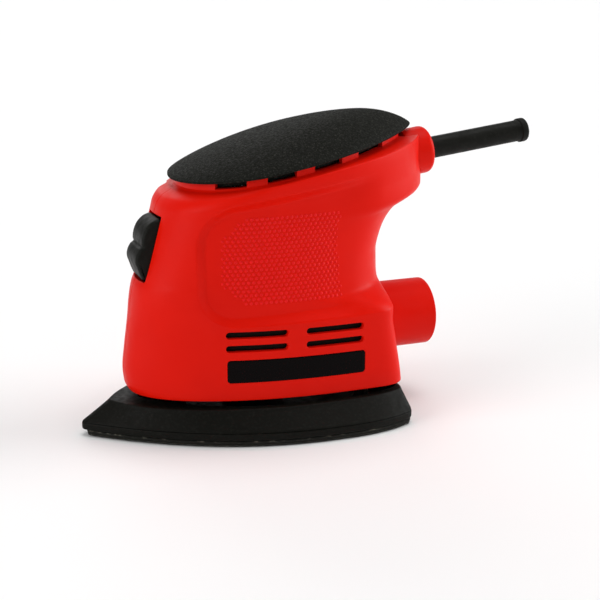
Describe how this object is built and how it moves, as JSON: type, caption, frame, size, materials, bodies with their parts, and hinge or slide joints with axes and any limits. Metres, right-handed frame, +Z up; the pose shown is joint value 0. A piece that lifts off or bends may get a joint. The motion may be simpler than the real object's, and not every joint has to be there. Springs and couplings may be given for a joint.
{
  "type": "detail mouse sander",
  "caption": "Compact detail sander with a domed palm cover, front rocker switch, rear dust outlet and an orbiting iron-shaped sanding platen.",
  "frame": {"origin": "where the motor drive axis meets the plane of the sanding face", "axes": "+X to the rear along the cord exit, +Z up along the drive axis, the pointed nose to -X, left side to -Y"},
  "size_m": [0.2165, 0.0916, 0.1375],
  "materials": {
    "red_plastic": "satin",
    "textured_black": "fine spark texture",
    "black_plastic": "matte",
    "label_black": "gloss film",
    "rubber_black": "matte",
    "pad_foam": "open foam",
    "hook_fabric": "hook and loop",
    "steel": "brushed",
    "lamination": "stamped",
    "copper": "enamelled copper",
    "brass": "satin",
    "carbon": "pressed carbon",
    "fan_plastic": "glass filled",
    "zinc": "die cast",
    "capacitor_yellow": "moulded box",
    "wire_blue": "insulation",
    "wire_brown": "insulation"
  },
  "bodies": {
    "housing": {"left_housing": "red_plastic", "right_housing": "red_plastic", "palm_cover": "textured_black", "dust_port": "red_plastic", "cord_collar": "red_plastic", "strain_relief": "rubber_black", "name_plate": "label_black", "rating_plate": "label_black", "vent_screen_left": "black_plastic", "vent_screen_right": "black_plastic", "cord_clamp": "black_plastic", "cord_clamp_screw_1": "steel", "cord_clamp_screw_2": "steel", "switch_frame": "black_plastic", "switch_body": "black_plastic", "stator_core": "lamination", "field_coil_left": "copper", "field_coil_right": "copper", "brush_holder_left": "brass", "brush_holder_right": "brass", "brush_spring_left": "steel", "brush_spring_right": "steel", "bearing_bridge": "black_plastic", "bearing_sleeve": "rubber_black", "capacitor": "capacitor_yellow", "live_lead": "wire_brown", "neutral_lead": "wire_blue", "upper_bearing_outer": "steel", "lower_bearing_outer": "steel", "housing_screw_1": "steel", "housing_screw_2": "steel", "housing_screw_3": "steel", "housing_screw_4": "steel", "housing_screw_5": "steel", "housing_screw_6": "steel", "rubber_post_1": "rubber_black", "rubber_post_2": "rubber_black", "rubber_post_3": "rubber_black", "rubber_post_4": "rubber_black"},
    "rotor": {"rotor_shaft": "steel", "armature_core": "lamination", "armature_winding": "copper", "commutator": "copper", "cooling_fan": "fan_plastic", "counterweight": "zinc", "bearing_screw": "steel", "upper_bearing_inner": "steel", "lower_bearing_inner": "steel", "platen_bearing_inner": "steel"},
    "platen": {"base_plate": "black_plastic", "foam_pad": "pad_foam", "hook_pad": "hook_fabric", "platen_bearing_outer": "steel", "plate_screw_1": "steel", "plate_screw_2": "steel", "plate_screw_3": "steel", "plate_screw_4": "steel"},
    "rocker": {"switch_rocker": "rubber_black"},
    "left_brush": {"carbon_brush_left": "carbon"},
    "right_brush": {"carbon_brush_right": "carbon"}
  },
  "joints": [
    {"name": "rotor_spin", "type": "hinge", "parent": "housing", "child": "rotor", "pos_m": [0, 0, 0.06], "axis": [0, 0, 1], "continuous": true},
    {"name": "platen_orbit", "type": "hinge", "parent": "rotor", "child": "platen", "pos_m": [0.001, 0, 0.0095], "axis": [0, 0, 1], "continuous": true, "deforming": ["rubber_post_1", "rubber_post_2", "rubber_post_3", "rubber_post_4"]},
    {"name": "switch_rock", "type": "hinge", "parent": "housing", "child": "rocker", "pos_m": [-0.04231, 0, 0.08096], "axis": [0, 1, 0], "range_deg": [-8, 0]},
    {"name": "left_brush_slide", "type": "slide", "parent": "housing", "child": "left_brush", "axis": [0, -1, 0], "range_m": [0, 0.005], "stiffness_N_per_m": 150, "springref_m": -0.008, "deforming": ["brush_spring_left"]},
    {"name": "right_brush_slide", "type": "slide", "parent": "housing", "child": "right_brush", "axis": [0, 1, 0], "range_m": [0, 0.005], "stiffness_N_per_m": 150, "springref_m": -0.008, "deforming": ["brush_spring_right"]}
  ],
  "couplings": [
    {"joint": "platen_orbit", "follows": "rotor_spin", "ratio": -1}
  ]
}
